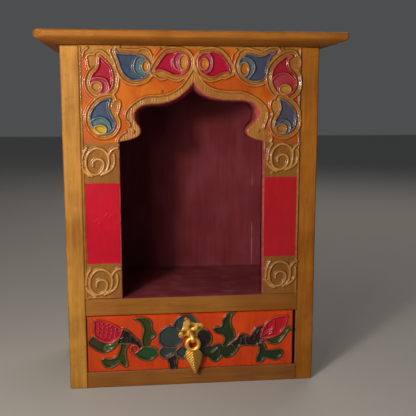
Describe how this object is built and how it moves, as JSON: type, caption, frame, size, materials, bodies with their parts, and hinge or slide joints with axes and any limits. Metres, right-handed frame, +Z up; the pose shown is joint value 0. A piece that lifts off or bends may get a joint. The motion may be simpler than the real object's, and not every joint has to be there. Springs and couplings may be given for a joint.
{
  "type": "home altar",
  "caption": "Painted wooden home altar: cabinet with cusped-arch niche, moulded cornice, piped gesso ornament and a drawer with a brass drop pull.",
  "frame": {"origin": "middle of the footprint's bounding box, on the ground", "axes": "+Z up, front faces -Y, +X to the right as seen from the front"},
  "size_m": [0.306, 0.163, 0.367],
  "materials": {
    "gold_ochre_paint": "aged gold-ochre paint over wood, satin, worn at the edges",
    "orange_panel_paint": "orange-red paint with gilded, crimson and blue ornament and raised gesso lines",
    "maroon_paint": "thin matt maroon paint over wood",
    "bare_wood": "unpainted softwood, matt",
    "aged_brass": "aged brass, half bright"
  },
  "bodies": {
    "cabinet": {"side_board_left": "gold_ochre_paint", "side_board_right": "gold_ochre_paint", "cornice_top": "gold_ochre_paint", "shelf_board": "gold_ochre_paint", "bottom_board": "gold_ochre_paint", "back_panel": "maroon_paint", "arch_face_board": "orange_panel_paint"},
    "drawer": {"drawer_front": "orange_panel_paint", "drawer_side_left": "bare_wood", "drawer_side_right": "bare_wood", "drawer_back": "bare_wood", "drawer_bottom": "bare_wood", "pull_plate": "aged_brass", "pull_pin": "aged_brass"},
    "pull": {"pull_drop": "aged_brass"}
  },
  "joints": [
    {"name": "drawer_slide", "type": "slide", "parent": "cabinet", "child": "drawer", "axis": [0, -1, 0], "range_m": [0, 0.095]},
    {"name": "pull_swing", "type": "hinge", "parent": "drawer", "child": "pull", "pos_m": [-0.0011, -0.0651, 0.0533], "axis": [-1, 0, 0], "range_deg": [0, 105]}
  ]
}
